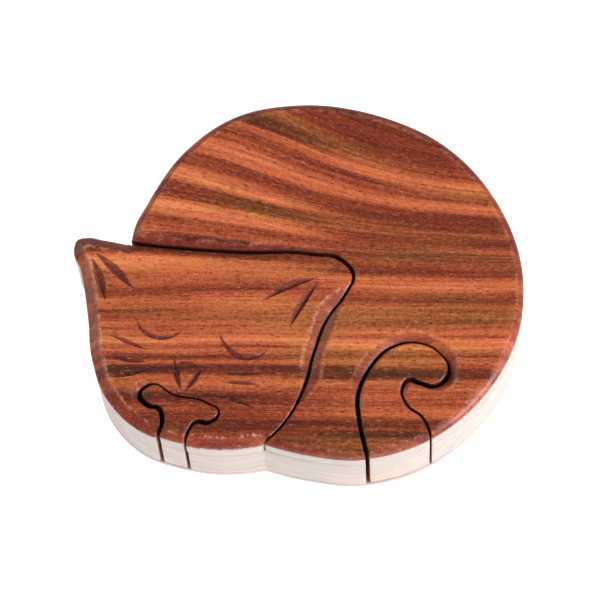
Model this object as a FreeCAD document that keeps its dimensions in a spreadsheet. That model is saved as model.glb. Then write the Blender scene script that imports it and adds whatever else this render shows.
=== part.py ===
"""Cat-shaped wooden puzzle box: a curled, sleeping cat sawn out of one board.

A thin plate closes the bottom of a wall block with two compartments. The top layer is sawn
into a head lid and a body lid, each with a glued plug that drops into its compartment. Two
full-height keys, a T under the chin and a hook for the tail, stand in slots that run through
the lids and the block and open at the front edge.

Frame: +X to the cat's tail side, +Y to its back, +Z up, origin under the middle of the box.
All sizes are millimetres.
"""
import FreeCAD, Part
import math
import os

Vector = FreeCAD.Vector

# Driving dimensions: (alias, value, what it is)
SIZES = [
    ("boxLength", 127.0, "overall size along X"),
    ("boxDepth", 106.5, "overall size along Y"),
    ("boxThickness", 27.0, "overall size along Z"),
    ("bottomThickness", 2.5, "plate under the wall block"),
    ("lidThickness", 7.0, "top layer"),
    ("plugDepth", 4.0, "how far a lid's plug reaches into its compartment"),
    ("wall", 7.0, "between a compartment and the outside"),
    ("divider", 7.0, "between the two compartments"),
    ("slotWall", 4.0, "between a compartment and a key slot"),
    ("sawnCorner", 3.0, "smallest corner radius of a compartment"),
    ("cutKerf", 0.6, "saw cut between the two lids"),
    ("keyKerf", 0.8, "saw cut round a key"),
    ("plugKerf", 0.8, "saw cut round a plug"),
    ("rim", 1.9, "rounding of the top edge"),
    ("gougeDepth", 0.8, "strokes carved into the head lid"),
    ("neckCorner", 1.0, "rounding in the two notches where head and body meet"),
    ("chinKeySpan", 21.5, "chin key across its arms"),
    ("tailKeySpan", 24.5, "tail key across its curl"),
    ("headSitX", -0.2, "head lid's seat in the play of its plug"),
    ("headSitY", -0.4, "the same, towards the front"),
    ("chinSitX", 0.15, "chin key's seat in the play of its slot"),
    ("tailSitX", 0.25, "tail key's seat in the play of its slot"),
    ("tailSitY", 0.2, "the same, towards the back"),
]

# The cat seen from above. The pattern is drawn once and enlarged to boxLength x boxDepth.
NECK_LEFT = (-47.3, 10.6)
NECK_FRONT = (-9.0, -48.8)
BODY_EDGE = [
    NECK_LEFT, (-46.6, 15.0), (-42.9, 23.0), (-33.0, 38.4), (-19.5, 48.9), (1.0, 53.2),
    (21.6, 50.2), (42.1, 40.1), (55.7, 24.3), (63.4, 1.0), (61.5, -17.5), (53.4, -33.0),
    (40.5, -45.3), (28.9, -51.0), (17.0, -53.3), (3.0, -51.9), NECK_FRONT,
]
HEAD_EDGE = [
    NECK_FRONT, (-21.0, -50.1), (-33.0, -48.4), (-44.0, -44.2), (-53.0, -35.0),
    (-57.4, -23.0), (-58.8, -11.0), (-61.2, 2.7), (-63.4, 9.8), (-62.6, 12.2),
    (-59.8, 13.0), (-54.8, 12.2), NECK_LEFT,
]
HEAD_CUT = [
    NECK_LEFT, (-36.0, 9.3), (-18.0, 8.0), (4.0, 7.4), (11.8, 6.0), (15.8, 1.0),
    (13.5, -4.7), (8.2, -12.3), (5.0, -21.5), (2.6, -31.0), (-1.7, -40.7), NECK_FRONT,
]
# The head's side of the cut is closed outside the box through these corners.
HEAD_SURROUND = [(-9.6, -70.0), (-80.0, -70.0), (-80.0, 24.0), (-56.0, 24.0)]

# Strokes carved into the head lid: start, middle, end, width at the middle
GOUGES = {
    "left ear, outer": ((-58.0, 6.3), (-55.6, 0.4), (-53.9, -6.6), 2.0),
    "left ear, inner": ((-57.2, 8.0), (-51.3, 2.8), (-45.8, -3.2), 2.0),
    "right ear, upper": ((-9.5, -6.4), (-2.8, -1.9), (5.6, 0.5), 1.6),
    "right ear, lower": ((-2.0, -14.4), (1.1, -7.4), (5.9, -0.7), 2.0),
    "left eye": ((-45.3, -11.6), (-40.6, -16.8), (-31.7, -15.4), 1.1),
    "right eye": ((-21.9, -15.7), (-16.6, -22.6), (-7.5, -20.7), 1.1),
    "nose, left": ((-34.1, -23.7), (-33.3, -28.2), (-32.0, -32.9), 1.3),
    "nose, right": ((-26.2, -26.8), (-28.4, -30.0), (-30.8, -33.4), 1.3),
    "nose, top": ((-32.9, -24.8), (-29.9, -25.2), (-27.3, -26.1), 0.9),
    "left whisker 1": ((-52.5, -16.7), (-47.4, -18.7), (-42.0, -21.1), 1.1),
    "left whisker 2": ((-52.3, -22.8), (-47.2, -24.1), (-41.6, -24.6), 1.3),
    "left whisker 3": ((-53.2, -29.1), (-47.5, -28.2), (-41.0, -27.0), 1.3),
    "right whisker 1": ((-20.3, -28.1), (-14.4, -28.0), (-8.8, -28.1), 1.0),
    "right whisker 2": ((-20.2, -30.8), (-15.7, -30.7), (-10.4, -31.3), 1.0),
    "right whisker 3": ((-23.5, -34.3), (-17.1, -35.6), (-10.9, -38.4), 1.2),
}

# Each key is drawn from the point where its middle meets the front edge.
CHIN_FRONT = (-34.2, -48.0)
CHIN_KEY = [
    (-4.8, -6.0), (-3.9, 1.0), (-2.6, 6.3), (-3.7, 9.5), (-7.4, 10.9), (-9.1, 13.6),
    (-7.0, 15.8), (0.4, 12.9), (8.8, 10.9), (12.4, 7.8), (10.2, 5.8), (6.1, 5.7),
    (4.0, 2.8), (3.8, -6.0),
]
TAIL_FRONT = (28.5, -51.0)
TAIL_KEY = [
    (-7.0, -7.0), (-8.4, -1.2), (-10.6, 8.5), (-11.1, 15.5), (-8.0, 23.8), (-2.7, 29.6),
    (3.5, 31.5), (10.1, 29.3), (13.4, 23.5), (9.8, 19.4), (6.0, 20.2), (2.6, 21.2),
    (0.4, 17.8), (1.9, 13.2), (6.5, 9.2), (8.7, 3.2), (9.1, -7.0),
]

NEARLY_STRAIGHT = 1e-5

doc = FreeCAD.newDocument("catPuzzleBox")
sheet = doc.addObject("Spreadsheet::Sheet", "Sheet")
for row, (alias, value, meaning) in enumerate(SIZES, start=1):
    sheet.set(f"A{row}", meaning)
    sheet.set(f"B{row}", str(value))
    sheet.setAlias(f"B{row}", alias)
doc.recompute()


def size(alias):
    return float(sheet.get(alias))


# ---- saw lines: smooth chains of tangent arcs ----

def mirrored(direction, chord):
    """The far end's direction of an arc that leaves along direction and has this chord."""
    along = Vector(chord).normalize()
    return along * 2 * along.dot(direction) - direction


def tangents(points):
    """A direction at each point: that of the circle through it and its neighbours."""
    found = []
    for before, here, after in zip(points, points[1:], points[2:]):
        back = here - before
        ahead = after - here
        found.append((back / back.dot(back) + ahead / ahead.dot(ahead)).normalize())
    first = mirrored(found[0], points[1] - points[0])
    last = mirrored(found[-1], points[-1] - points[-2])
    return [first] + found + [last]


def arc(start, end, direction):
    """The arc from start to end that leaves start along direction."""
    chord = end - start
    turn = math.atan2(chord.cross(direction).z, chord.dot(direction))
    if abs(turn) < NEARLY_STRAIGHT:
        return Part.LineSegment(start, end).toShape()
    left = Vector(-chord.y, chord.x, 0)
    return Part.Arc(start, (start + end + left * math.tan(turn / 2)) / 2, end).toShape()


def sawLine(points):
    """Two tangent arcs from each point to the next."""
    edges = []
    directions = tangents(points)
    for start, end, leave, arrive in zip(points, points[1:], directions, directions[1:]):
        chord = end - start
        slope = chord.dot(leave + arrive)
        bend = 2 * (1 - leave.dot(arrive))
        reach = chord.dot(chord) / (slope + math.sqrt(slope ** 2 + bend * chord.dot(chord)))
        joint = (start + end + (leave - arrive) * reach) / 2
        edges.append(arc(start, joint, leave))
        edges.append(arc(joint, end, mirrored(leave, joint - start)))
    return edges


def straightLine(points):
    return [Part.LineSegment(a, b).toShape() for a, b in zip(points, points[1:])]


def face(edges):
    return Part.Face(Part.Wire(edges))


# ---- the pattern at its real size ----

def vectors(points, start=(0, 0), grow=(1, 1)):
    return [Vector(start[0] + x * grow[0], start[1] + y * grow[1], 0) for x, y in points]


def largest(plan):
    return max(plan.Faces, key=lambda piece: piece.Area)


def offset(plan, by):
    """The plan grown all round, or shrunk where by is negative."""
    return largest(largest(plan).makeOffset2D(by))


def outline(grow):
    edges = sawLine(vectors(BODY_EDGE, grow=grow)) + sawLine(vectors(HEAD_EDGE, grow=grow))
    sharp = face(edges)
    return offset(offset(sharp, size("neckCorner")), -size("neckCorner"))


def headSide():
    """The head's side of the cut between the lids, closed outside the box."""
    cut = vectors(HEAD_CUT, grow=enlarge)
    around = vectors(HEAD_SURROUND, grow=enlarge)
    return face(sawLine(cut) + straightLine([cut[-1]] + around + [cut[0]]))


def keyPlan(points, front, span):
    """A key's plan at its own size, in its place at the front edge."""
    wide = max(x for x, y in points) - min(x for x, y in points)
    place = (front[0] * enlarge[0], front[1] * enlarge[1])
    line = vectors(points, place, (span / wide, span / wide))
    return face(sawLine(line) + straightLine([line[-1], line[0]]))


def gougePlan(stroke):
    """A leaf shape between two arcs, one each side of the stroke's middle."""
    start, centre, end = vectors(stroke[:3], grow=enlarge)
    across = Vector(start.y - end.y, end.x - start.x, 0).normalize() * stroke[3] / 2
    sides = [Part.Arc(start, centre + across, end), Part.Arc(end, centre - across, start)]
    return face([side.toShape() for side in sides])


def hollow(lid, key):
    """A compartment's plan: inside the walls, clear of its key slot, with round corners.

    It is drawn short of every wall by the corner radius, then grown by that radius.
    """
    corner = size("sawnCorner")
    room = offset(cat, -size("wall") - corner)
    fromCut = size("divider") / 2 + corner
    if lid == "head":
        room = room.common(offset(head, -fromCut))
    else:
        room = room.cut(offset(head, fromCut))
    room = room.cut(offset(key, size("keyKerf") + size("slotWall") + corner))
    return offset(room, corner)


drawn = outline((1, 1)).BoundBox
enlarge = (size("boxLength") / drawn.XLength, size("boxDepth") / drawn.YLength)
cat = outline(enlarge)
middle = cat.BoundBox.Center
head = headSide()
chin = keyPlan(CHIN_KEY, CHIN_FRONT, size("chinKeySpan"))
tail = keyPlan(TAIL_KEY, TAIL_FRONT, size("tailKeySpan"))
headHollow = hollow("head", chin)
bodyHollow = hollow("body", tail)
gouges = Part.makeCompound([gougePlan(stroke) for stroke in GOUGES.values()])


# ---- document objects ----

def plan(name, shape):
    """A drawn plan, centred, kept in the document as the base of what is sawn along it."""
    thing = doc.addObject("Part::Feature", name)
    thing.Shape = shape
    thing.Placement = FreeCAD.Placement(-middle, FreeCAD.Rotation())
    return thing


def widened(name, base, by):
    """A plan grown all round by a size, or by minus a size."""
    thing = doc.addObject("Part::Offset2D", name)
    thing.Source = base
    thing.setExpression("Value", by)
    return thing


def column(name, base, bottom, height):
    """A plan's upright solid between two levels."""
    thing = doc.addObject("Part::Extrusion", name)
    thing.Base = base
    thing.DirMode = "Custom"
    thing.Dir = Vector(0, 0, 1)
    thing.Solid = True
    thing.setExpression("LengthFwd", height)
    thing.setExpression("Placement.Base.z", bottom)
    return thing


def sawn(kind, name, base, tool):
    """Part::Cut takes the tool's solid away; Part::Common keeps only what is in it."""
    thing = doc.addObject(kind, name)
    thing.Base = base
    thing.Tool = tool
    return thing


def subPart(label, thing, x="0", y="0"):
    """Names a finished piece, seats it in the play that its saw cut leaves, and keeps it."""
    thing.Label = label
    if (x, y) != ("0", "0"):
        thing.setExpression("Placement.Base.x", x)
        thing.setExpression("Placement.Base.y", y)
    subParts.append(thing)


subParts = []
catPlan = plan("catPlan", cat)
headPlan = plan("headPlan", head)
chinPlan = plan("chinPlan", chin)
tailPlan = plan("tailPlan", tail)
headHollowPlan = plan("headHollowPlan", headHollow)
bodyHollowPlan = plan("bodyHollowPlan", bodyHollow)
gougesPlan = plan("gougesPlan", gouges)

# The whole board, its top edge rounded before it is sawn apart
board = column("board", catPlan, "0", "Sheet.boxThickness")
doc.recompute()
roundedBoard = doc.addObject("Part::Fillet", "roundedBoard")
roundedBoard.Base = board
roundedBoard.Edges = [
    (number, size("rim"), size("rim"))
    for number, edge in enumerate(board.Shape.Edges, start=1)
    if edge.BoundBox.ZMin > size("boxThickness") - size("rim")
]

# Levels, from the table up
BLOCK_BOTTOM = "Sheet.bottomThickness"
BLOCK_HEIGHT = "Sheet.boxThickness - Sheet.bottomThickness - Sheet.lidThickness"
LID_BOTTOM = "Sheet.boxThickness - Sheet.lidThickness"
KEY_HEIGHT = "Sheet.boxThickness - Sheet.bottomThickness"

# The two slots, sawn from the front edge through everything above the bottom plate
chinSlotPlan = widened("chinSlotPlan", chinPlan, "Sheet.keyKerf")
tailSlotPlan = widened("tailSlotPlan", tailPlan, "Sheet.keyKerf")
chinSlot = column("chinSlot", chinSlotPlan, BLOCK_BOTTOM, KEY_HEIGHT)
tailSlot = column("tailSlot", tailSlotPlan, BLOCK_BOTTOM, KEY_HEIGHT)

subPart("bottom_plate", column("bottomPlate", catPlan, "0", "Sheet.bottomThickness"))

block = column("block", catPlan, BLOCK_BOTTOM, BLOCK_HEIGHT)
headRoom = column("headRoom", headHollowPlan, BLOCK_BOTTOM, BLOCK_HEIGHT)
bodyRoom = column("bodyRoom", bodyHollowPlan, BLOCK_BOTTOM, BLOCK_HEIGHT)
block = sawn("Part::Cut", "blockHeadRoom", block, headRoom)
block = sawn("Part::Cut", "blockBodyRoom", block, bodyRoom)
block = sawn("Part::Cut", "blockChinSlot", block, chinSlot)
subPart("wall_block", sawn("Part::Cut", "wallBlock", block, tailSlot))

headEdge = widened("headEdge", headPlan, "-Sheet.cutKerf / 2")
headColumn = column("headColumn", headEdge, LID_BOTTOM, "Sheet.lidThickness")
headLid = sawn("Part::Common", "headLidWhole", roundedBoard, headColumn)
headLid = sawn("Part::Cut", "headLidSawn", headLid, chinSlot)
carved = column("carved", gougesPlan, "Sheet.boxThickness - Sheet.gougeDepth", "Sheet.lidThickness")
headLid = sawn("Part::Cut", "headLid", headLid, carved)
subPart("head_lid", headLid, "Sheet.headSitX", "Sheet.headSitY")

bodyEdge = widened("bodyEdge", headPlan, "Sheet.cutKerf / 2")
bodyCut = column("bodyCut", bodyEdge, LID_BOTTOM, "Sheet.lidThickness")
lidLayer = column("lidLayer", catPlan, LID_BOTTOM, "Sheet.lidThickness")
bodyLid = sawn("Part::Common", "bodyLidWhole", roundedBoard, lidLayer)
bodyLid = sawn("Part::Cut", "bodyLidSawn", bodyLid, bodyCut)
subPart("body_lid", sawn("Part::Cut", "bodyLid", bodyLid, tailSlot))

PLUG_BOTTOM = "Sheet.boxThickness - Sheet.lidThickness - Sheet.plugDepth"
headPlugPlan = widened("headPlugPlan", headHollowPlan, "-Sheet.plugKerf")
bodyPlugPlan = widened("bodyPlugPlan", bodyHollowPlan, "-Sheet.plugKerf")
headPlug = column("headPlug", headPlugPlan, PLUG_BOTTOM, "Sheet.plugDepth")
bodyPlug = column("bodyPlug", bodyPlugPlan, PLUG_BOTTOM, "Sheet.plugDepth")
subPart("head_lid_plug", headPlug, "Sheet.headSitX", "Sheet.headSitY")
subPart("body_lid_plug", bodyPlug)

chinColumn = column("chinColumn", chinPlan, BLOCK_BOTTOM, KEY_HEIGHT)
tailColumn = column("tailColumn", tailPlan, BLOCK_BOTTOM, KEY_HEIGHT)
chinKey = sawn("Part::Common", "chinKey", roundedBoard, chinColumn)
tailKey = sawn("Part::Common", "tailKey", roundedBoard, tailColumn)
subPart("chin_key", chinKey, "Sheet.chinSitX")
subPart("tail_key", tailKey, "Sheet.tailSitX", "Sheet.tailSitY")

doc.recompute()

for thing in doc.Objects:
    if "Invalid" in thing.State or "Error" in thing.State:
        raise RuntimeError(f"{thing.Name} failed: {thing.State}")
for thing in subParts:
    if thing.Shape.isNull() or not thing.Shape.isValid() or thing.Shape.Volume <= 0:
        raise RuntimeError(f"{thing.Label} has no sound shape")

os.makedirs("parts", exist_ok=True)
for thing in subParts:
    thing.Shape.exportStep(f"parts/{thing.Label}.step")
    box = thing.Shape.BoundBox
    print(f"{thing.Label}: {len(thing.Shape.Solids)} solid, {thing.Shape.Volume / 1000:.1f} cm3,"
          f" X {box.XMin:.2f} {box.XMax:.2f}, Y {box.YMin:.2f} {box.YMax:.2f},"
          f" Z {box.ZMin:.2f} {box.ZMax:.2f}")
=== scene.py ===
import math

import bpy
import numpy as np
from mathutils import Matrix, Vector, noise
from mathutils.geometry import delaunay_2d_cdt


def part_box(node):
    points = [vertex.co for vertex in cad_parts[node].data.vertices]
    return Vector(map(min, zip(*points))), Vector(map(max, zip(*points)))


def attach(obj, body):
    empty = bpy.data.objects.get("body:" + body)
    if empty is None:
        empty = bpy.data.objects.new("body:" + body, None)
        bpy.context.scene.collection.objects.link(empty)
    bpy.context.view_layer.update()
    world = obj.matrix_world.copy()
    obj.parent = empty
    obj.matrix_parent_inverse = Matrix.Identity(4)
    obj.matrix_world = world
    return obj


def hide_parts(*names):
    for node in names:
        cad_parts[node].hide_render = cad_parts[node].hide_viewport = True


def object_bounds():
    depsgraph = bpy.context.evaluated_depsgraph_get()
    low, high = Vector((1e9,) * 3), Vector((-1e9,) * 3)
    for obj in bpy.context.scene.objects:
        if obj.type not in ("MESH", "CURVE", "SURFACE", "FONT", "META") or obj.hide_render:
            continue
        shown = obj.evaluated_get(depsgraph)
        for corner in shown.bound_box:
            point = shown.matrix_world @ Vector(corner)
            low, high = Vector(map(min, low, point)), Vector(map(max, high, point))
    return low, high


# A curled, sleeping cat sawn out of a sheesham board: a secret box with two lids and two keys.
# The plan of each piece comes from the frame. Its edges, carving and finish are made here.
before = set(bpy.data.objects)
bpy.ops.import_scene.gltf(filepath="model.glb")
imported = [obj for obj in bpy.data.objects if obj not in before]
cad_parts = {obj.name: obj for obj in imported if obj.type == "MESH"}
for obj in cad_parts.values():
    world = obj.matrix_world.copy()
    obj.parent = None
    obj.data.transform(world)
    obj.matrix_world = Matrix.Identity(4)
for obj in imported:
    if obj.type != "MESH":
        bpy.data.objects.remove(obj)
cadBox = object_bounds()
mm = 0.001
boardTop = cadBox[1][2] / mm
outlineStep = 0.5  # millimetres between the points of an outline
print("frame loaded:", len(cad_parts), "nodes")


# The plans are in millimetres. The closed loops of a node's underside, each with the wood on its left
def planLoops(nodeName):
    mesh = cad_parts[nodeName].data
    points = np.array([v.co for v in mesh.vertices]) / mm
    low = points[:, 2].min() + 0.001
    keys = [tuple(p) for p in np.round(points[:, :2], 3)]
    sides = set()
    for face in mesh.polygons:
        if all(points[i, 2] < low for i in face.vertices):
            ring = [keys[i] for i in face.vertices]
            sides.update(zip(ring[1:] + ring[:1], ring))
    onward = {a: b for a, b in sides if (b, a) not in sides}
    loops = []
    while onward:
        loop = [min(onward)]
        while loop[-1] in onward:
            loop.append(onward.pop(loop[-1]))
        loops.append(np.array(loop[:-1]))
    return loops


# A smooth line through the loop's points, left sharp where it turns by more than sharpTurn degrees
def smoothLoop(loop, step=outlineStep, sharpTurn=32):
    before, after = np.roll(loop, 1, 0), np.roll(loop, -1, 0)
    back, ahead = loop - before, after - loop
    turn = np.arctan2(back[:, 0] * ahead[:, 1] - back[:, 1] * ahead[:, 0], (back * ahead).sum(1))
    sharp = abs(turn) > math.radians(sharpTurn)
    across = (after - before) / np.linalg.norm(after - before, axis=1)[:, None]
    found = []
    for i, here in enumerate(loop):
        there = after[i]
        run = np.linalg.norm(there - here)
        leave = there - here if sharp[i] else across[i] * run
        arrive = there - here if sharp[(i + 1) % len(loop)] else across[(i + 1) % len(loop)] * run
        for t in np.arange(0, 1, 1 / max(1, round(run / step)))[:, None]:
            found.append((2 * t ** 3 - 3 * t ** 2 + 1) * here + (t ** 3 - 2 * t ** 2 + t) * leave
                         + (3 * t ** 2 - 2 * t ** 3) * there + (t ** 3 - t ** 2) * arrive)
    line = np.array(found)
    gaps = np.linalg.norm(line - np.roll(line, 1, 0), axis=1)
    line = line[gaps > step / 4]
    return (np.roll(line, 1, 0) + 2 * line + np.roll(line, -1, 0)) / 4  # takes the splinters off a corner


# Loops joined into one table of edges, with the width and depth of the rounding at each point
def edgeTable(loops, wide, deep):
    table = {"start": np.vstack(loops), "end": np.vstack([np.roll(l, -1, 0) for l in loops])}
    for name, values in (("wide", wide), ("deep", deep)):
        table[name] = np.concatenate(values)
        table[name + "Next"] = np.concatenate([np.roll(v, -1) for v in values])
    return table


sanding = {
    "bevelSpread": 1.5,     # an edge wider than about this is a flat bevel, a narrower one a rounding
    "bevelOffset": 0.9,
    "flattest": 0.75,
    "rimReach": 1.1,        # an edge this near the cat's outline is part of the rim
    "rimBlend": 0.4,
    "settle": 1.6,          # length over which one kind of edge turns into another
    "ringClear": 0.94,      # how far points of a rounding keep from other edges, as a share
    "gridClear": 0.6,
    "boardWaviness": 0.05,  # low spots left by the hand sander
    "wallWaviness": 0.07,
    "waveLength": 13.0,
    "wallWaveLength": 7.8,
    "wallStep": 3.0,
    "easedShare": 0.3,      # of the bottom bevel, where its middle ring lies
}


# For each point: the gap to the nearest edge, what the roundings take off there, and that edge's width
def edgeField(points, table):
    along = table["end"] - table["start"]
    lengths = (along ** 2).sum(1)
    gaps, taken, widths = [], [], []
    for part in np.array_split(points, 1 + len(points) * len(along) // 1500000):
        offset = part[:, None] - table["start"]
        t = np.clip((offset * along).sum(2) / lengths, 0, 1)
        gap = np.linalg.norm(offset - t[..., None] * along, axis=2)
        wide = table["wide"] + t * (table["wideNext"] - table["wide"])
        deep = table["deep"] + t * (table["deepNext"] - table["deep"])
        short = np.clip(1 - gap / wide, 0, 1)
        flat = np.clip(wide / sanding["bevelSpread"] - sanding["bevelOffset"], 0, sanding["flattest"])
        taken.append((deep * (flat * short + (1 - flat) * (1 - np.sqrt(1 - short ** 2)))).max(1))
        nearest = np.arange(len(part)), gap.argmin(1)
        gaps.append(gap[nearest])
        widths.append(wide[nearest])
    return np.concatenate(gaps), np.concatenate(taken), np.concatenate(widths)


def insidePlan(points, table):
    (ax, ay), (bx, by) = table["start"].T, table["end"].T
    rise = np.where(by == ay, 1e-9, by - ay)
    found = []
    for part in np.array_split(points, 1 + len(points) * len(ax) // 3000000):
        x, y = part[:, :1], part[:, 1:]
        hit = ((ay > y) != (by > y)) & (x < (bx - ax) * (y - ay) / rise + ax)
        found.append(hit.sum(1) % 2 == 1)
    return np.concatenate(found)


# Triangles of a flat plan through all the points. The first ones are the loops.
def planTriangles(points, table):
    count = len(table["start"])
    numbers = {tuple(p): i for i, p in enumerate(table["start"])}
    sides = [(i, numbers[tuple(p)]) for i, p in enumerate(table["end"])]
    corners = [Vector(p) for p in points]
    spots, _, faces, origins, _, _ = delaunay_2d_cdt(corners, sides, [], 0, 1e-7, True)
    spots = np.array(spots)
    faces = np.array([f for f in faces if len(f) == 3])
    faces = faces[insidePlan(spots[faces].mean(1), table)]
    toOld = np.array([o[0] if o else -1 for o in origins])
    if (toOld[faces] < 0).any():
        raise RuntimeError("a plan's loops cross each other")
    return toOld[faces]


def hexGrid(low, high, step):
    rows = []
    for k, y in enumerate(np.arange(low[1], high[1], step * 0.866)):
        xs = np.arange(low[0] + (k % 2) * step / 2, high[0], step)
        rows.append(np.column_stack([xs, np.full(len(xs), y)]))
    return np.vstack(rows)


# A slow unevenness between 0 and 1, the same for every piece, so that seams still meet
def uneven(points, length):
    return np.array([0.5 + 0.5 * noise.noise(Vector(p) / length) for p in points])


catOutline = [smoothLoop(l) for l in planLoops("bottom_plate")]
flatEdge = [np.full(len(l), 1.0) for l in catOutline]
outlineTable = edgeTable(catOutline, flatEdge, flatEdge)


# Width and depth of the top rounding along a loop: rim, sawn edge, and places that are sanded more
def edgeShape(loop, look):
    gap, _, _ = edgeField(loop, outlineTable)
    onRim = np.clip((sanding["rimReach"] - gap) / sanding["rimBlend"], 0, 1)
    wide = look["sawnEdge"][0] + onRim * (look["rimEdge"][0] - look["sawnEdge"][0])
    deep = look["sawnEdge"][1] + onRim * (look["rimEdge"][1] - look["sawnEdge"][1])
    for x, y, reach, width, depth in look.get("worn", []):
        near = np.exp(-(np.hypot(loop[:, 0] - x, loop[:, 1] - y) / reach) ** 2) * (1 - onRim)
        wide, deep = wide + near * (width - wide), deep + near * (depth - deep)
    for _ in range(2 * round(sanding["settle"] / outlineStep)):
        wide = (np.roll(wide, 1) + 2 * wide + np.roll(wide, -1)) / 4
        deep = (np.roll(deep, 1) + 2 * deep + np.roll(deep, -1)) / 4
    return wide, deep


# A piece between two levels: a gently uneven top with rounded edges, upright walls, a flat underside
def sandedPiece(name, node, look):
    low, high = (v.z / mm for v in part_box(node))
    loops = [smoothLoop(l) for l in planLoops(node)]
    shapes = [edgeShape(l, look) for l in loops]
    table = edgeTable(loops, [s[0] for s in shapes], [s[1] for s in shapes])
    inward = []
    for loop in loops:
        along = np.roll(loop, -1, 0) - np.roll(loop, 1, 0)
        aside = np.column_stack([-along[:, 1], along[:, 0]])
        inward.append(aside / np.linalg.norm(along, axis=1)[:, None])
    inward = np.vstack(inward)
    border = table["start"]
    steps = look["steps"]
    spots, drops = [border], [table["deep"]]
    for k in range(1, steps + 1):
        reach = table["wide"] * (1 - math.cos(k / steps * math.pi / 2))
        ring = border + inward * reach[:, None]
        gap, taken, _ = edgeField(ring, table)
        keep = (gap > reach * sanding["ringClear"]) & insidePlan(ring, table)
        spots.append(ring[keep])
        drops.append(taken[keep])
    grid = hexGrid(border.min(0), border.max(0), look["grid"])
    grid = grid[insidePlan(grid, table)]
    gap, taken, _ = edgeField(grid, table)
    keep = (gap > look["grid"] * sanding["gridClear"]) & (taken < 1e-6)
    top = np.vstack(spots + [grid[keep]])
    taken = np.concatenate(drops + [taken[keep]])
    faces = planTriangles(top, table)
    waves = uneven([(x, y, 0) for x, y in top], sanding["waveLength"]) * sanding["boardWaviness"]
    points = [np.column_stack([top, high - taken - waves])]

    # walls, ring below ring, down to the small bevel of the bottom edge
    count, small = len(border), look["bottomEdge"]
    topRing = points[0][:count, 2]
    levels = max(2, round((high - low) / sanding["wallStep"]))
    downs = [topRing + (low + small - topRing) * k / levels for k in range(1, levels + 1)]
    downs = [(z, np.zeros(count)) for z in downs]
    eased = small * sanding["easedShare"]
    for up, inset in ((eased, eased), (0.0, small)):
        downs.append((np.full(count, low + up), np.full(count, inset)))
    starts = np.cumsum([0] + [len(l) for l in loops])
    onward = np.concatenate([(np.arange(len(l)) + 1) % len(l) + first for l, first in zip(loops, starts)])
    lastRing, total = np.arange(count), len(top)
    quads = []
    for z, inset in downs:
        ring = border + inward * inset[:, None]
        points.append(np.column_stack([ring, z]))
        thisRing = np.arange(total, total + count)
        quads += list(zip(lastRing, thisRing, thisRing[onward], lastRing[onward]))
        lastRing, total = thisRing, total + count
    last = np.split(points[-1][:, :2], starts[1:-1])
    ones = [np.full(len(l), 1.0) for l in last]
    under = planTriangles(points[-1][:, :2], edgeTable(last, ones, ones))
    points = np.vstack(points)

    # the sander leaves the walls very slightly hollow
    wall = np.arange(len(top), len(points) - count)
    hollows = uneven([(x, y, z / 4) for x, y, z in points[wall]], sanding["wallWaveLength"])
    hollows = hollows[:, None] * sanding["wallWaviness"]
    points[wall, :2] += np.tile(inward, (len(wall) // count, 1)) * hollows

    under = under + lastRing[0]
    sides = [tuple(f) if ccw(points[f, :2]) else tuple(f[::-1]) for f in faces]
    sides += [tuple(f[::-1]) if ccw(points[f, :2]) else tuple(f) for f in under]
    sides += [tuple(int(i) for i in quad) for quad in quads]
    mesh = bpy.data.meshes.new(name)
    mesh.from_pydata([tuple(p * mm) for p in points], [], sides)
    mesh.validate()
    piece = bpy.data.objects.new(name, mesh)
    bpy.context.scene.collection.objects.link(piece)
    return piece, table


def ccw(corners):
    (ax, ay), (bx, by), (cx, cy) = corners
    return (bx - ax) * (cy - ay) - (by - ay) * (cx - ax) > 0


# Adds a node. Values that are sockets get linked, the rest are set on the input
def addNode(tree, kind, inputs=None, **settings):
    node = tree.nodes.new(kind)
    for key, value in settings.items():
        setattr(node, key, value)
    for key, value in (inputs or {}).items():
        if isinstance(value, bpy.types.NodeSocket):
            tree.links.new(value, node.inputs[key])
        else:
            node.inputs[key].default_value = value
    return node


def srgb(code):
    parts = [int(code[i:i + 2], 16) / 255 for i in (1, 3, 5)]
    return tuple(p / 12.92 if p <= 0.04045 else ((p + 0.055) / 1.055) ** 2.4 for p in parts) + (1.0,)


# The wood: sheesham (Indian rosewood), lengths in millimetres
board = {
    "swing": 20.0,             # how far the growth lines drift sideways behind the cat's back
    "swingFrom": -8.0, "swingTo": 48.0,
    "swingMiddle": 8.0, "swingLength": 45.0,
    "dive": 0.7,               # how fast the bands sink into the board, per millimetre of depth
    "waver": 1.8, "waverSize": (60.0, 16.0, 25.0),
    "tailEndFrom": -12.0, "tailEndTo": 22.0,
    "streakSize": (90.0, 3.4, 6.0), "streakAmount": 0.32,
    "lineSize": (60.0, 1.3, 2.0),
    "fibreSize": (20.0, 0.6, 1.1),
    "poreSize": (2.0, 0.34, 0.5),  # real pores are half as wide, too fine to show
    "poreFrom": 0.6, "poreTo": 0.72, "poreDarkness": 0.36, "poreRelief": 0.6,
    "fleckFrom": 0.37, "fleckTo": 0.27,  # pale flecks sit in the shallow pores
    "dustSize": 0.7,           # sanding dust left in the wax
    "contrast": 0.86, "middleTone": 0.45,
    "oliveSize": (60.0, 9.0, 20.0), "oliveFrom": 0.45, "oliveTo": 0.66,
    "scratchSize": (2.2, 1.8, 2.0), "scratchTurn": 0.6,
    "scratchFrom": 0.44, "scratchTo": 0.7, "scratchRelief": 0.4,
    "fibreGloss": 0.16, "wornGloss": 0.2,  # added to the roughness
    "rimHeight": 2.5, "rimFade": 0.3,  # the painted light on the walls starts this far below the top
    "rimRagged": 1.2, "paintedWallLightStreaks": 0.5,
    "thickness": 27.0,
    "bandFrom": -58.0, "bandTo": 62.0,
}
toneStops = (0.0, 0.15, 0.32, 0.5, 0.7, 0.92)  # where the six colours of a look stand, dark to pale
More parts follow.
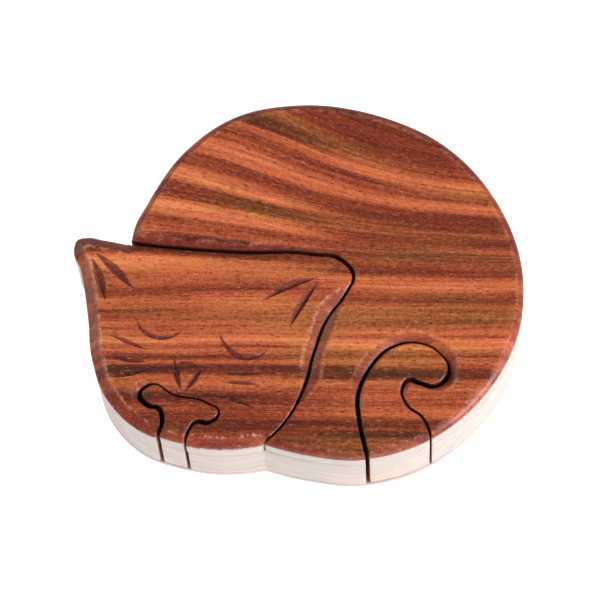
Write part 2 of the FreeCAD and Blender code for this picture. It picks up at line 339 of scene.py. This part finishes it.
# Growth bands across the board: (distance along Y, tone), 0 is the darkest heartwood and 1 the palest
headEndBands = [
    (-58, 0.18), (-52, 0.15), (-49, 0.13), (-47, 0.31), (-44, 0.13), (-41, 0.29), (-38.5, 0.35),
    (-35.5, 0.15), (-33.5, 0.4), (-31.5, 0.55), (-29.6, 0.5), (-28.4, 0.14), (-26.6, 0.1), (-25.2, 0.62),
    (-23.4, 0.34), (-21.8, 0.55), (-20.6, 0.38), (-18.8, 0.8), (-16.5, 0.48), (-14, 0.58), (-12, 0.4),
    (-9, 0.55), (-6.5, 0.58), (-4.5, 0.42), (-1.5, 0.52), (0.5, 0.6), (2.2, 0.76), (4.2, 0.34), (6.6, 0.14),
    (8, 0.36), (9.2, 0.58), (10.8, 0.4), (12, 0.68), (13.8, 0.82), (15.2, 0.6), (17, 0.22), (19, 0.66),
    (20.6, 0.76), (23.2, 0.28), (26, 0.6), (28.6, 0.72), (30.4, 0.6), (33, 0.38), (35, 0.52), (37, 0.46),
    (39.6, 0.14), (42, 0.4), (44.6, 0.48), (48, 0.28), (52, 0.2), (62, 0.3),
]
tailEndBands = [
    (-58, 0.23), (-52, 0.19), (-50, 0.33), (-48, 0.35), (-46, 0.07), (-44.6, 0.33), (-43.2, 0.13),
    (-41.5, 0.35), (-38, 0.47), (-34, 0.5), (-31, 0.52), (-29.8, 0.2), (-28.6, 0.12), (-27, 0.36),
    (-25, 0.54), (-23, 0.4), (-21, 0.62), (-19, 0.8), (-17.2, 0.4), (-16, 0.6), (-14, 0.36), (-12.3, 0.5),
    (-11, 0.4), (-9, 0.54), (-6.4, 0.28), (-4, 0.42), (-1.4, 0.7), (0.8, 0.5), (3, 0.24), (5.5, 0.3),
    (7.2, 0.3), (9.6, 0.48), (12.4, 0.26), (15, 0.28), (18.5, 0.36), (22.6, 0.24), (25.6, 0.36),
    (28.4, 0.68), (30, 0.6), (32, 0.38), (34.6, 0.52), (36.6, 0.7), (39.4, 0.5), (42, 0.34), (44.4, 0.3),
    (47.2, 0.18), (50, 0.25), (54, 0.2), (62, 0.24),
]


# Sanded and waxed sheesham: long bands from purple-brown to tan, fine open pores, a satin sheen.
# Edges that are handled wear paler, pick up fine scratches and carry a painted highlight line; bevels carry
# painted shade, the outer walls painted light, saw cuts scorch marks and painted shade.
def sheesham(name, look):
    material = bpy.data.materials.new(name)
    material.use_nodes = True
    tree = material.node_tree
    tree.nodes.clear()
    coords = addNode(tree, "ShaderNodeTexCoord")
    place = addNode(tree, "ShaderNodeVectorMath", {0: coords.outputs["Object"], 1: (1000, 1000, 1000)},
                    operation="MULTIPLY").outputs[0]  # millimetres
    x, y, z = addNode(tree, "ShaderNodeSeparateXYZ", {0: place}).outputs

    # growth lines: straight along X at the front, swinging down to the tail side behind the back
    swing = addNode(tree, "ShaderNodeMapRange", {0: y, 1: board["swingFrom"], 2: board["swingTo"], 3: 0.0,
                                                 4: board["swing"]}, interpolation_type="SMOOTHSTEP")
    turn = addNode(tree, "ShaderNodeMath", {0: x, 1: board["swingMiddle"]}, operation="SUBTRACT")
    turn = addNode(tree, "ShaderNodeMath", {0: turn.outputs[0], 1: board["swingLength"]}, operation="DIVIDE")
    turn = addNode(tree, "ShaderNodeMath", {0: turn.outputs[0]}, operation="TANH")
    sway = addNode(tree, "ShaderNodeMath", {0: swing.outputs[0], 1: turn.outputs[0], 2: y},
                   operation="MULTIPLY_ADD")
    depth = addNode(tree, "ShaderNodeMath", {0: board["thickness"], 1: z}, operation="SUBTRACT")
    sink = addNode(tree, "ShaderNodeMath", {0: depth.outputs[0], 1: board["dive"], 2: sway.outputs[0]},
                   operation="MULTIPLY_ADD")
    slow = addNode(tree, "ShaderNodeMapping", {"Vector": place,
                                               "Scale": tuple(1 / s for s in board["waverSize"])})
    waver = addNode(tree, "ShaderNodeTexNoise", {"Vector": slow.outputs[0], "Scale": 1.0, "Detail": 2.0,
                                                 "Roughness": 0.5})
    shift = addNode(tree, "ShaderNodeMapRange", {0: waver.outputs[0], 1: 0.0, 2: 1.0, 3: -board["waver"] / 2,
                                                 4: board["waver"] / 2})
    across = addNode(tree, "ShaderNodeMath", {0: sink.outputs[0], 1: shift.outputs[0]}, operation="ADD")
    grain = addNode(tree, "ShaderNodeCombineXYZ", {0: x, 1: across.outputs[0], 2: z}).outputs[0]

    # the known bands, head end and tail end
    where = addNode(tree, "ShaderNodeMapRange", {0: across.outputs[0], 1: board["bandFrom"],
                                                 2: board["bandTo"]})
    ends = []
    for bands in (headEndBands, tailEndBands):
        curve = addNode(tree, "ShaderNodeFloatCurve", {"Value": where.outputs[0]})
        line = curve.mapping.curves[0]
        span = board["bandTo"] - board["bandFrom"]
        spots = [((at - board["bandFrom"]) / span, tone) for at, tone in bands]
        line.points[0].location, line.points[1].location = spots[0], spots[-1]
        for spot in spots[1:-1]:
            line.points.new(*spot)
        curve.mapping.update()
        ends.append(curve.outputs[0])
    toTail = addNode(tree, "ShaderNodeMapRange", {0: x, 1: board["tailEndFrom"], 2: board["tailEndTo"]},
                     interpolation_type="SMOOTHSTEP")
    tones = addNode(tree, "ShaderNodeMix", {0: toTail.outputs[0], 2: ends[0], 3: ends[1]}).outputs[0]

    # streaks, lines and fibres lighten and darken the bands. Lines only darken, on an even ground.
    layers = {}
    for key, size, detail, amount, (low, high, down, up) in (
        ("streaks", board["streakSize"], 3.0, board["streakAmount"], (0.0, 1.0, -0.5, 0.5)),
        ("lines", board["lineSize"], 4.0, look["lines"], (0.3, 0.56, -0.5, 0.06)),
        ("fibres", board["fibreSize"], 3.0, look["fibres"], (0.0, 1.0, -0.5, 0.5)),
    ):
        spread = addNode(tree, "ShaderNodeMapping", {"Vector": grain, "Scale": tuple(1 / s for s in size)})
        layers[key] = addNode(tree, "ShaderNodeTexNoise", {"Vector": spread.outputs[0], "Scale": 1.0,
                                                           "Detail": detail, "Roughness": 0.6}).outputs[0]
        change = addNode(tree, "ShaderNodeMapRange", {0: layers[key], 1: low, 2: high, 3: down, 4: up})
        tones = addNode(tree, "ShaderNodeMath", {0: change.outputs[0], 1: amount, 2: tones},
                        operation="MULTIPLY_ADD").outputs[0]

    # pores fleck the wood, dust clouds it
    spread = addNode(tree, "ShaderNodeMapping", {"Vector": grain,
                                                 "Scale": tuple(1 / s for s in board["poreSize"])})
    speck = addNode(tree, "ShaderNodeTexNoise", {"Vector": spread.outputs[0], "Scale": 1.0, "Detail": 1.0})
    pores = addNode(tree, "ShaderNodeMapRange", {0: speck.outputs[0], 1: board["poreFrom"],
                                                 2: board["poreTo"]}).outputs[0]
    tones = addNode(tree, "ShaderNodeMath", {0: pores, 1: -board["poreDarkness"], 2: tones},
                    operation="MULTIPLY_ADD").outputs[0]
    spread = addNode(tree, "ShaderNodeMapping", {"Vector": place, "Scale": (1 / board["dustSize"],) * 3})
    dust = addNode(tree, "ShaderNodeTexNoise", {"Vector": spread.outputs[0], "Scale": 1.0, "Detail": 3.0,
                                                "Roughness": 0.65})
    change = addNode(tree, "ShaderNodeMath", {0: dust.outputs[0], 1: 0.5}, operation="SUBTRACT")
    tones = addNode(tree, "ShaderNodeMath", {0: change.outputs[0], 1: look["dust"], 2: tones},
                    operation="MULTIPLY_ADD").outputs[0]
    calmed = board["middleTone"] * (1 - board["contrast"])
    tones = addNode(tree, "ShaderNodeMath", {0: tones, 1: board["contrast"], 2: calmed},
                    operation="MULTIPLY_ADD").outputs[0]

    # two families of colour: ruddy, and olive where the heartwood is streaked
    ramps = []
    for codes in (look["ruddy"], look["olive"]):
        ramp = addNode(tree, "ShaderNodeValToRGB", {0: tones})
        line = ramp.color_ramp.elements
        for at in toneStops[1:-1]:
            line.new(at)
        for stop, at, code in zip(line, toneStops, codes):
            stop.position, stop.color = at, srgb(code)
        ramps.append(ramp.outputs[0])
    spread = addNode(tree, "ShaderNodeMapping", {"Vector": grain, "Location": (3.1, 7.7, 1.9),
                                                 "Scale": tuple(1 / s for s in board["oliveSize"])})
    patch = addNode(tree, "ShaderNodeTexNoise", {"Vector": spread.outputs[0], "Scale": 1.0, "Detail": 3.0})
    toOlive = addNode(tree, "ShaderNodeMapRange", {0: patch.outputs[0], 1: board["oliveFrom"],
                                                   2: board["oliveTo"]})
    colour = addNode(tree, "ShaderNodeMix", {0: toOlive.outputs[0], 6: ramps[0], 7: ramps[1]},
                     data_type="RGBA")

    # where wear with its painted highlight, painted shade on bevels, painted light on the walls, and
    # scorching with painted shade go
    bevel, wearAndHighlight, wall, scorchAndShade = (addNode(tree, "ShaderNodeAttribute", attribute_name=mark).outputs["Fac"]
                                 for mark in ("bevel", "wearAndHighlight", "wall", "scorchAndShade"))
    paleFlecks = addNode(tree, "ShaderNodeMapRange", {0: speck.outputs[0], 1: board["fleckFrom"],
                                                  2: board["fleckTo"], 3: 0.0, 4: look["flecks"]})
    # painted shade: bevels and rims darkened and reddened as if turned away from the light
    bevelShade = addNode(tree, "ShaderNodeMath", {0: bevel, 1: look["paintedBevelShade"]}, operation="MULTIPLY")
    spread = addNode(tree, "ShaderNodeMapping", {"Vector": place, "Rotation": (0, 0, board["scratchTurn"]),
                                                 "Scale": tuple(1 / s for s in board["scratchSize"])})
    scratch = addNode(tree, "ShaderNodeTexNoise", {"Vector": spread.outputs[0], "Scale": 1.0, "Detail": 6.0,
                                                   "Roughness": 0.72, "Distortion": 0.6})
    scratches = addNode(tree, "ShaderNodeMapRange", {0: scratch.outputs[0], 1: board["scratchFrom"],
                                                     2: board["scratchTo"]})
    # pale scratches along the upper edge of a rounding: partly wear, partly a painted highlight line
    worn = addNode(tree, "ShaderNodeMath", {0: scratches.outputs[0], 1: wearAndHighlight}, operation="MULTIPLY")
    wearAndHighlightAmount = addNode(tree, "ShaderNodeMath", {0: worn.outputs[0], 1: look["wearAndHighlightAmount"]}, operation="MULTIPLY")
    # painted light: the outer walls paled from a little below the top, streaked along the lines
    paintedWallLight = addNode(tree, "ShaderNodeMath", {0: layers["lines"], 1: board["paintedWallLightStreaks"],
                                             2: look["paintedWallLight"] - board["paintedWallLightStreaks"] / 2},
                    operation="MULTIPLY_ADD")
    ragged = addNode(tree, "ShaderNodeMath", {0: scratch.outputs[0], 1: board["rimRagged"],
                                              2: depth.outputs[0]},
                     operation="MULTIPLY_ADD")
    under = addNode(tree, "ShaderNodeMapRange", {0: ragged.outputs[0], 1: board["rimHeight"],
                                                 2: board["rimHeight"] + board["rimFade"]})
    paintedWallLight = addNode(tree, "ShaderNodeMath", {0: paintedWallLight.outputs[0], 1: under.outputs[0]}, operation="MULTIPLY")
    paintedWallLight = addNode(tree, "ShaderNodeMath", {0: paintedWallLight.outputs[0], 1: wall}, operation="MULTIPLY",
                    use_clamp=True)

    # in this order: pale flecks in the pores, painted shade on bevels, pale scratches with a painted
    # highlight along their upper edge, painted light on the walls, and scorch marks with painted shade on the
    # sides of a saw cut
    for amount, code in ((paleFlecks.outputs[0], look["paleFleckAndHighlight"]), (bevelShade.outputs[0], look["paintedBevelShadeColour"]),
                         (wearAndHighlightAmount.outputs[0], look["paleFleckAndHighlight"]), (paintedWallLight.outputs[0], look["paintedWallLightColour"]),
                         (scorchAndShade, look["scorchedAndShaded"])):
        colour = addNode(tree, "ShaderNodeMix", {0: amount, 6: colour.outputs[2], 7: srgb(code)},
                         data_type="RGBA")

    gloss = addNode(tree, "ShaderNodeMath", {0: layers["fibres"], 1: board["fibreGloss"],
                                             2: look["roughness"] - board["fibreGloss"] / 2},
                    operation="MULTIPLY_ADD")
    gloss = addNode(tree, "ShaderNodeMath", {0: worn.outputs[0], 1: board["wornGloss"], 2: gloss.outputs[0]},
                    operation="MULTIPLY_ADD")
    relief = addNode(tree, "ShaderNodeMath", {0: pores, 1: -board["poreRelief"], 2: layers["fibres"]},
                     operation="MULTIPLY_ADD")
    relief = addNode(tree, "ShaderNodeMath", {0: scratch.outputs[0], 1: board["scratchRelief"],
                                              2: relief.outputs[0]},
                     operation="MULTIPLY_ADD")
    bump = addNode(tree, "ShaderNodeBump", {"Strength": 1.0, "Distance": look["relief"] * mm,
                                            "Height": relief.outputs[0]})
    shader = addNode(tree, "ShaderNodeBsdfPrincipled", {
        "Base Color": colour.outputs[2], "Roughness": gloss.outputs[0], "Normal": bump.outputs[0], "IOR": 1.5,
        "Specular IOR Level": 0.22,
        "Coat Weight": look["wax"], "Coat Roughness": 0.22, "Coat IOR": 1.45})
    addNode(tree, "ShaderNodeOutputMaterial", {0: shader.outputs[0]})
    return material


waxedLook = {
    "roughness": 0.42, "wax": 0.15, "relief": 0.05,  # relief in millimetres
    "lines": 0.52, "fibres": 0.4, "dust": 0.62, "flecks": 0.24,
    # painted shade on the bevels
    "paintedBevelShade": 0.62, "paintedBevelShadeColour": "#6C170B",
    # pale scratches and a painted highlight line along edges; the same pale colour flecks the pores
    "wearAndHighlightAmount": 0.4, "paleFleckAndHighlight": "#DFA088",
    # scorch marks and painted shade in the saw cuts
    "scorchedAndShaded": "#30140B",
    "paintedWallLight": 0.72, "paintedWallLightColour": "#9E9994",  # painted light: the outer walls paled to look brightly lit
    "ruddy": ("#46170F", "#5E2110", "#7F341B", "#A5502F", "#C1663F", "#DF8758"),
    "olive": ("#3C1E0D", "#542C0F", "#773F1C", "#A0592D", "#BF753A", "#DD9655"),
}
# straight from the saw: dull, fuzzy, paler in tone than under wax
sawnLook = dict(waxedLook, roughness=0.75, wax=0.0, wearAndHighlightAmount=0.15, relief=0.12,
                ruddy=("#5A3226", "#744433", "#8F5740", "#AD7255", "#C18768", "#D09C7C"),
                olive=("#4F3A29", "#6B4D36", "#876346", "#A97E5A", "#C0946C", "#CFA883"))
waxedSheesham = sheesham("waxedSheesham", waxedLook)
sawnSheesham = sheesham("sawnSheesham", sawnLook)
# the knife cuts through the wax into dull purple-brown heartwood
heartwood = ("#38150F", "#4A1B16", "#5C251C", "#6E2F23", "#7E3A2B", "#8D4738")
cutLook = dict(waxedLook, roughness=0.8, wax=0.0, paintedBevelShade=0.0, wearAndHighlightAmount=0.0, ruddy=heartwood, olive=heartwood)
knifeCutSheesham = sheesham("knifeCutSheesham", cutLook)
print("materials ready")


# How far wear with its painted highlight, painted shade on bevels, scorching with painted shade and painted
# light on the walls reach from an edge
marking = {
    "bevelFrom": 1.1, "bevelBeyond": 0.1, "bevelBlend": 0.4,
    "bevelFade": 5.0,                               # down the walls
    # the band of wear and painted highlight along the upper edge of a rounding
    "wearAndHighlightWidth": 0.5, "wearAndHighlightOnBevel": 0.12,
    # saw cuts: scorch marks and painted shade over the cut walls and the roundings beside them
    "scorchShadeReach": 0.25, "scorchShadeCore": 1.5, "scorchShadeTop": 0.08, "scorchShadeBlend": 0.35,
    "scorchShadeInside": 0.9, "scorchShadeInsideBlend": 0.6,  # it stops short of the outer wall
    "scorchShadeDepth": 14.0, "scorchShadeStart": 1.05, "scorchShadeLeast": 0.4, "scorchShadeMost": 0.9,
    "wallTop": 0.5, "wallReach": 1.0, "wallBlend": 0.3,
}


def share(values):
    return np.clip(values, 0, 1)


# Marks for the finish and for painted light: painted shade on a bevel, wear and a painted highlight along its
# upper edge, scorch and painted shade down in a saw cut, painted light on the outer wall
def markEdges(piece, table, scorchedAndShaded, rubbedAndHighlit):
    mesh = piece.data
    points = np.array([v.co for v in mesh.vertices]) / mm
    gap, _, wide = edgeField(points[:, :2], table)
    fromOutline, _, _ = edgeField(points[:, :2], outlineTable)
    below = points[:, 2].max() - points[:, 2]
    bevelled = share(wide - marking["bevelFrom"]) * share(1 - below / marking["bevelFade"])
    # wear and a painted highlight line along the upper edge of a rounding
    ridge = np.exp(-((gap - wide) / marking["wearAndHighlightWidth"]) ** 2)
    # scorch marks and painted shade on the cut walls and the roundings beside them
    inCut = share(marking["scorchShadeCore"] - gap / marking["scorchShadeReach"])
    inCut = inCut * share((below - marking["scorchShadeTop"]) / marking["scorchShadeBlend"])
    inside = share((fromOutline - marking["scorchShadeInside"]) / marking["scorchShadeInsideBlend"])
    fading = marking["scorchShadeStart"] - below / marking["scorchShadeDepth"]
    fading = np.clip(fading, marking["scorchShadeLeast"], marking["scorchShadeMost"])
    marks = {
        # painted shade on bevels and rims
        "bevel": share((wide + marking["bevelBeyond"] - gap) / marking["bevelBlend"]) * bevelled,
        "wearAndHighlight": rubbedAndHighlit * (ridge + marking["wearAndHighlightOnBevel"] * (gap < wide)) * bevelled,
        "scorchAndShade": scorchedAndShaded * inCut * inside * fading,
        # painted light on the outer walls
        "wall": share((boardTop - points[:, 2] - marking["wallTop"]) / marking["wallBlend"])
                * share((marking["wallReach"] - fromOutline) / marking["wallBlend"]),
    }
    for name, values in marks.items():
        mesh.attributes.new(name, "FLOAT", "POINT").data.foreach_set("value", values.astype(np.float32))


def finishPiece(piece, table, look, body, nodes, sharpAngle=38):
    markEdges(piece, table, look.get("scorchAndShade", 1.0), look.get("rubbedAndHighlit", 1.0))
    piece.data.shade_smooth()
    piece.data.set_sharp_from_angle(angle=math.radians(sharpAngle))
    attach(piece, body)
    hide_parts(*nodes)


# Looks of the pieces' edges. Each edge is (width, depth), each worn place (x, y, reach, width, depth).
# the plate: thin, its lower edge eased so that it lifts easily off a table
plateLook = {"sawnEdge": (0.15, 0.15), "rimEdge": (0.15, 0.15), "bottomEdge": 0.5, "grid": 3.0, "steps": 2}
# the block: two hollows and two slots sawn right through
blockLook = {"sawnEdge": (0.3, 0.3), "rimEdge": (0.12, 0.12), "bottomEdge": 0.12, "grid": 3.0, "steps": 3,
             "scorchAndShade": 0.4}
plugLook = {"sawnEdge": (0.12, 0.12), "rimEdge": (0.12, 0.12), "bottomEdge": 0.8, "grid": 3.0, "steps": 2,
            "scorchAndShade": 0.3}
headLook = {
    "sawnEdge": (0.5, 0.45), "rimEdge": (3.2, 2.2), "bottomEdge": 0.15, "grid": 0.65, "steps": 6,
    # the head's edges get more wear and more painted highlight
    "rubbedAndHighlit": 1.7,
    "worn": [(-45.0, -32.0, 3.5, 2.6, 1.4), (9.5, -10.0, 8.0, 3.6, 1.5), (4.5, -22.0, 8.0, 2.6, 1.0)],
}
bodyLook = {
    "sawnEdge": (0.5, 0.45), "rimEdge": (2.0, 1.6), "bottomEdge": 0.15, "grid": 0.7, "steps": 6,
    "worn": [
        (-40.0, 10.0, 8.0, 2.6, 1.1), (-25.0, 9.0, 9.0, 2.4, 1.0), (-10.0, 8.5, 9.0, 2.2, 0.9),
        (4.0, 8.0, 7.0, 1.8, 0.7), (42.0, -24.0, 8.0, 3.4, 1.8), (43.0, -27.0, 4.5, 2.4, 2.4),
        (32.0, -19.0, 9.0, 3.0, 1.4), (20.0, -27.0, 9.0, 2.8, 1.1), (28.0, -29.0, 3.0, 2.6, 1.6),
        (9.5, -16.0, 7.0, 3.4, 1.4), (4.0, -28.0, 8.0, 3.2, 1.2),
    ],
}
keyLook = {"sawnEdge": (0.8, 0.7), "rimEdge": (2.0, 1.7), "bottomEdge": 0.3, "grid": 0.6, "steps": 6}

plans = [
    ("bottomPlate", "bottom_plate", plateLook, "box", "rosewood", waxedSheesham),
    ("wallBlock", "wall_block", blockLook, "box", "rosewood", waxedSheesham),
    ("headPlug", "head_lid_plug", plugLook, "head_lid", "bare_rosewood", sawnSheesham),
    ("bodyPlug", "body_lid_plug", plugLook, "body_lid", "bare_rosewood", sawnSheesham),
    ("chinKey", "chin_key", keyLook, "chin_key", "rosewood", waxedSheesham),
    ("tailKey", "tail_key", keyLook, "tail_key", "rosewood", waxedSheesham),
    ("bodyLid", "body_lid", bodyLook, "body_lid", "rosewood", waxedSheesham),
]
for name, node, look, body, slotName, material in plans:
    piece, table = sandedPiece(name, node, look)
    piece.data.materials.append(material)
    finishPiece(piece, table, look, body, [node])
    print("made", name, len(piece.data.polygons), "faces")


# The strokes carved into the head lid
carving = {
    "seat": (-0.2, -0.4),  # the head lid sits this far over in the play of its plug
    "depth": 0.42,         # of each stroke's width
    "lean": 0.22,          # the knife leans, so one side is steep
    "above": 0.4,          # the wedge stands this far out of the wood, with these half widths up there
    "leftSide": 1.1, "rightSide": 0.95,
    "root": 0.06,
    "tip": 0.02,           # width at a stroke's end
    "fullness": 0.5,       # 1 gives slim leaves, less gives fuller ones
    "sink": 0.02,
    "steps": 18,
    "sharpAngle": 20,      # keeps the cut edges crisp
}
# each stroke: points along it, and its width at the middle
strokes = {
    "leftEarOuter": ([(-58.0, 6.3), (-55.6, 0.4), (-53.9, -6.6)], 2.4),
    "leftEarInner": ([(-57.2, 8.0), (-51.3, 2.8), (-45.8, -3.2)], 2.3),
    "rightEarUpper": ([(-9.5, -6.4), (-2.8, -1.9), (5.6, 0.5)], 2.2),
    "rightEarLower": ([(-2.0, -14.4), (1.1, -7.4), (5.9, -0.7)], 2.1),
    "leftEye": ([(-45.3, -11.6), (-43.3, -15.2), (-38.4, -17.5), (-35.1, -17.2), (-31.7, -15.4)], 1.3),
    "rightEye": ([(-21.9, -15.7), (-19.9, -19.5), (-15.3, -23.1), (-10.9, -23.0), (-7.5, -20.7)], 1.6),
    "noseLeft": ([(-34.1, -23.7), (-33.3, -28.2), (-32.0, -32.9)], 1.9),
    "noseRight": ([(-26.2, -26.8), (-28.4, -30.0), (-30.8, -33.4)], 1.8),
    "noseTop": ([(-32.9, -24.8), (-29.9, -25.2), (-27.3, -26.1)], 1.4),
    "leftWhisker1": ([(-52.5, -16.7), (-47.4, -18.7), (-42.0, -21.1)], 1.2),
    "leftWhisker2": ([(-52.3, -22.8), (-47.2, -24.1), (-41.6, -24.6)], 1.3),
    "leftWhisker3": ([(-53.2, -29.1), (-47.5, -28.2), (-41.0, -27.0)], 1.6),
    "rightWhisker1": ([(-20.3, -28.1), (-14.4, -28.0), (-8.8, -28.1)], 1.1),
    "rightWhisker2": ([(-20.2, -30.8), (-15.7, -30.7), (-10.4, -31.3)], 1.1),
    "rightWhisker3": ([(-23.5, -34.3), (-17.1, -35.6), (-10.9, -38.4)], 1.4),
}


# Geometry Nodes: a leaf-shaped wedge along each path. The path's radius is the width of the stroke.
def strokeTree():
    tree = bpy.data.node_groups.new("knifeStroke", "GeometryNodeTree")
    for label, kind in (("Paths", "Geometry"), ("Depth", "Float"), ("Lean", "Float"), ("Steps", "Int"),
                        ("Finish", "Material")):
        tree.interface.new_socket(label, in_out="INPUT", socket_type="NodeSocket" + kind)
    tree.interface.new_socket("Wedges", in_out="OUTPUT", socket_type="NodeSocketGeometry")
    given = addNode(tree, "NodeGroupInput")
    paths = addNode(tree, "GeometryNodeResampleCurve",
                    {"Curve": given.outputs["Paths"], "Count": given.outputs["Steps"]})
    upright = addNode(tree, "GeometryNodeSetCurveNormal", {"Curve": paths.outputs[0]}, mode="Z_UP")
    factor = addNode(tree, "GeometryNodeSplineParameter")
    swing = addNode(tree, "ShaderNodeMath", {0: factor.outputs["Factor"], 1: math.pi}, operation="MULTIPLY")
    leaf = addNode(tree, "ShaderNodeMath", {0: swing.outputs[0]}, operation="SINE")
    leaf = addNode(tree, "ShaderNodeMath", {0: leaf.outputs[0], 1: carving["tip"]}, operation="MAXIMUM")
    leaf = addNode(tree, "ShaderNodeMath", {0: leaf.outputs[0], 1: carving["fullness"]}, operation="POWER")
    width = addNode(tree, "GeometryNodeInputRadius")
    shaped = addNode(tree, "ShaderNodeMath", {0: width.outputs[0], 1: leaf.outputs[0]}, operation="MULTIPLY")
    sized = addNode(tree, "GeometryNodeSetCurveRadius",
                    {"Curve": upright.outputs[0], "Radius": shaped.outputs[0]})
    # the wedge: wide above the wood, a narrow leaning root below it
    aside = addNode(tree, "ShaderNodeMath", {0: given.outputs["Lean"], 1: carving["root"]}, operation="ADD")
    rootA = addNode(tree, "ShaderNodeCombineXYZ", {0: aside.outputs[0], 1: given.outputs["Depth"]})
    rootB = addNode(tree, "ShaderNodeCombineXYZ", {0: given.outputs["Lean"], 1: given.outputs["Depth"]})
    wedge = addNode(tree, "GeometryNodeCurvePrimitiveQuadrilateral", {
        "Point 1": (-carving["leftSide"], -carving["above"], 0.0),
        "Point 2": (carving["rightSide"], -carving["above"], 0.0),
        "Point 3": rootA.outputs[0], "Point 4": rootB.outputs[0]}, mode="POINTS")
    solid = addNode(tree, "GeometryNodeCurveToMesh", {
        "Curve": sized.outputs[0], "Profile Curve": wedge.outputs[0], "Scale": shaped.outputs[0],
        "Fill Caps": True})
    whole = addNode(tree, "GeometryNodeRealizeInstances", {0: solid.outputs[0]})
    painted = addNode(tree, "GeometryNodeSetMaterial",
                      {"Geometry": whole.outputs[0], "Material": given.outputs["Finish"]})
    addNode(tree, "NodeGroupOutput", {0: painted.outputs[0]})
    return tree


lines = bpy.data.curves.new("strokePaths", "CURVE")
lines.dimensions = "3D"
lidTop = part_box("head_lid")[1].z
seatX, seatY = carving["seat"]
for points, width in strokes.values():
    spline = lines.splines.new("BEZIER")
    spline.bezier_points.add(len(points) - 1)
    for knot, (px, py) in zip(spline.bezier_points, points):
        knot.co = ((px + seatX) * mm, (py + seatY) * mm, lidTop - carving["sink"] * mm)
        knot.handle_left_type = knot.handle_right_type = "AUTO"
        knot.radius = width * mm
knife = bpy.data.objects.new("knifeStrokes", lines)
bpy.context.scene.collection.objects.link(knife)
modifier = knife.modifiers.new("strokes", "NODES")
modifier.node_group = strokeTree()
values = {"Depth": carving["depth"], "Lean": carving["lean"], "Steps": carving["steps"],
          "Finish": knifeCutSheesham}
for item in modifier.node_group.interface.items_tree:
    if item.in_out == "INPUT" and item.name in values:
        modifier[item.identifier] = values[item.name]
wedges = bpy.data.meshes.new_from_object(knife.evaluated_get(bpy.context.evaluated_depsgraph_get()))
print("stroke wedges:", len(wedges.polygons), "faces")
cutter = bpy.data.objects.new("strokeCutter", wedges)
bpy.context.scene.collection.objects.link(cutter)

headLid, table = sandedPiece("headLid", "head_lid", headLook)
headLid.data.materials.append(waxedSheesham)
carve = headLid.modifiers.new("carve", "BOOLEAN")
carve.operation, carve.solver, carve.object = "DIFFERENCE", "EXACT", cutter
carve.material_mode = "TRANSFER"
carve.use_self = True  # the wedges of the nose meet above the wood
carved = bpy.data.meshes.new_from_object(headLid.evaluated_get(bpy.context.evaluated_depsgraph_get()))
headLid.modifiers.remove(carve)
headLid.data = carved
carved.name = "headLid"
for spare in (cutter, knife):
    bpy.data.objects.remove(spare)
finishPiece(headLid, table, headLook, "head_lid", ["head_lid"], carving["sharpAngle"])
print("made headLid", len(headLid.data.polygons), "faces", [m.name for m in headLid.data.materials])


# Floor and light
studio = {
    "floorGlow": 0.7, "worldStrength": 0.35, "floorReach": 3.0,
    "aim": (0, 0, 0.02),
    "frontSoftBox": {"place": (0.1, -1.15, 0.32), "size": (0.9, 0.4), "power": 9.0},
    "keySoftBox": {"place": (0.85, -0.4, 0.6), "size": (0.45, 0.45), "power": 17.0},
    "fillSoftBox": {"place": (-0.8, 0.35, 0.5), "size": (0.5, 0.5), "power": 3.0},
}

reach = studio["floorReach"]
floorMesh = bpy.data.meshes.new("floor")
corners = [(-reach, -reach, 0), (reach, -reach, 0), (reach, reach, 0), (-reach, reach, 0)]
floorMesh.from_pydata(corners, [], [(0, 1, 2, 3)])
floor = bpy.data.objects.new("floor", floorMesh)
bpy.context.scene.collection.objects.link(floor)
# a white acrylic light table: it glows, so shadows almost vanish and the walls pick up its light
acrylic = bpy.data.materials.new("whiteAcrylic")
acrylic.use_nodes = True
acrylicShader = acrylic.node_tree.nodes["Principled BSDF"]
acrylicShader.inputs["Base Color"].default_value = srgb("#F2F2F2")
acrylicShader.inputs["Roughness"].default_value = 0.6
acrylicShader.inputs["Emission Color"].default_value = (1, 1, 1, 1)
acrylicShader.inputs["Emission Strength"].default_value = studio["floorGlow"]
floorMesh.materials.append(acrylic)

world = bpy.data.worlds.new("studio")
bpy.context.scene.world = world
world.use_nodes = True
backdrop = world.node_tree.nodes.get("Background") or addNode(world.node_tree, "ShaderNodeBackground")
backdrop.inputs["Color"].default_value = (1, 1, 1, 1)
backdrop.inputs["Strength"].default_value = studio["worldStrength"]

for name in ("frontSoftBox", "keySoftBox", "fillSoftBox"):
    lamp = bpy.data.lights.new(name, "AREA")
    lamp.shape = "RECTANGLE"
    lamp.size, lamp.size_y = studio[name]["size"]
    lamp.energy = studio[name]["power"]
    softBox = bpy.data.objects.new(name, lamp)
    softBox.location = studio[name]["place"]
    towards = Vector(studio["aim"]) - Vector(studio[name]["place"])
    softBox.rotation_euler = towards.to_track_quat("-Z", "Y").to_euler()
    bpy.context.scene.collection.objects.link(softBox)

view = {
    "aim": (0.000661, -0.006654, 0.027), "distance": 1.1229,
    "azimuth": 5.0, "elevation": 70.0, "roll": -4.5, "lens": 240.0,
}
az, el, roll = (math.radians(view[k]) for k in ("azimuth", "elevation", "roll"))
towards = Vector((math.sin(az) * math.cos(el), -math.cos(az) * math.cos(el), math.sin(el)))
right = (-towards).cross(Vector((0, 0, 1))).normalized()
upward = right.cross(-towards)
rightTilted = math.cos(roll) * right + math.sin(roll) * upward
upTilted = -math.sin(roll) * right + math.cos(roll) * upward
lens = bpy.data.cameras.new("camera")
lens.lens, lens.sensor_width = view["lens"], 36.0
camera = bpy.data.objects.new("camera", lens)
turned = Matrix((rightTilted, upTilted, towards)).transposed().to_4x4()
camera.matrix_world = Matrix.Translation(Vector(view["aim"]) + towards * view["distance"]) @ turned
bpy.context.scene.collection.objects.link(camera)
bpy.context.scene.camera = camera
bpy.context.scene.view_settings.view_transform = "Standard"
print("stage ready")
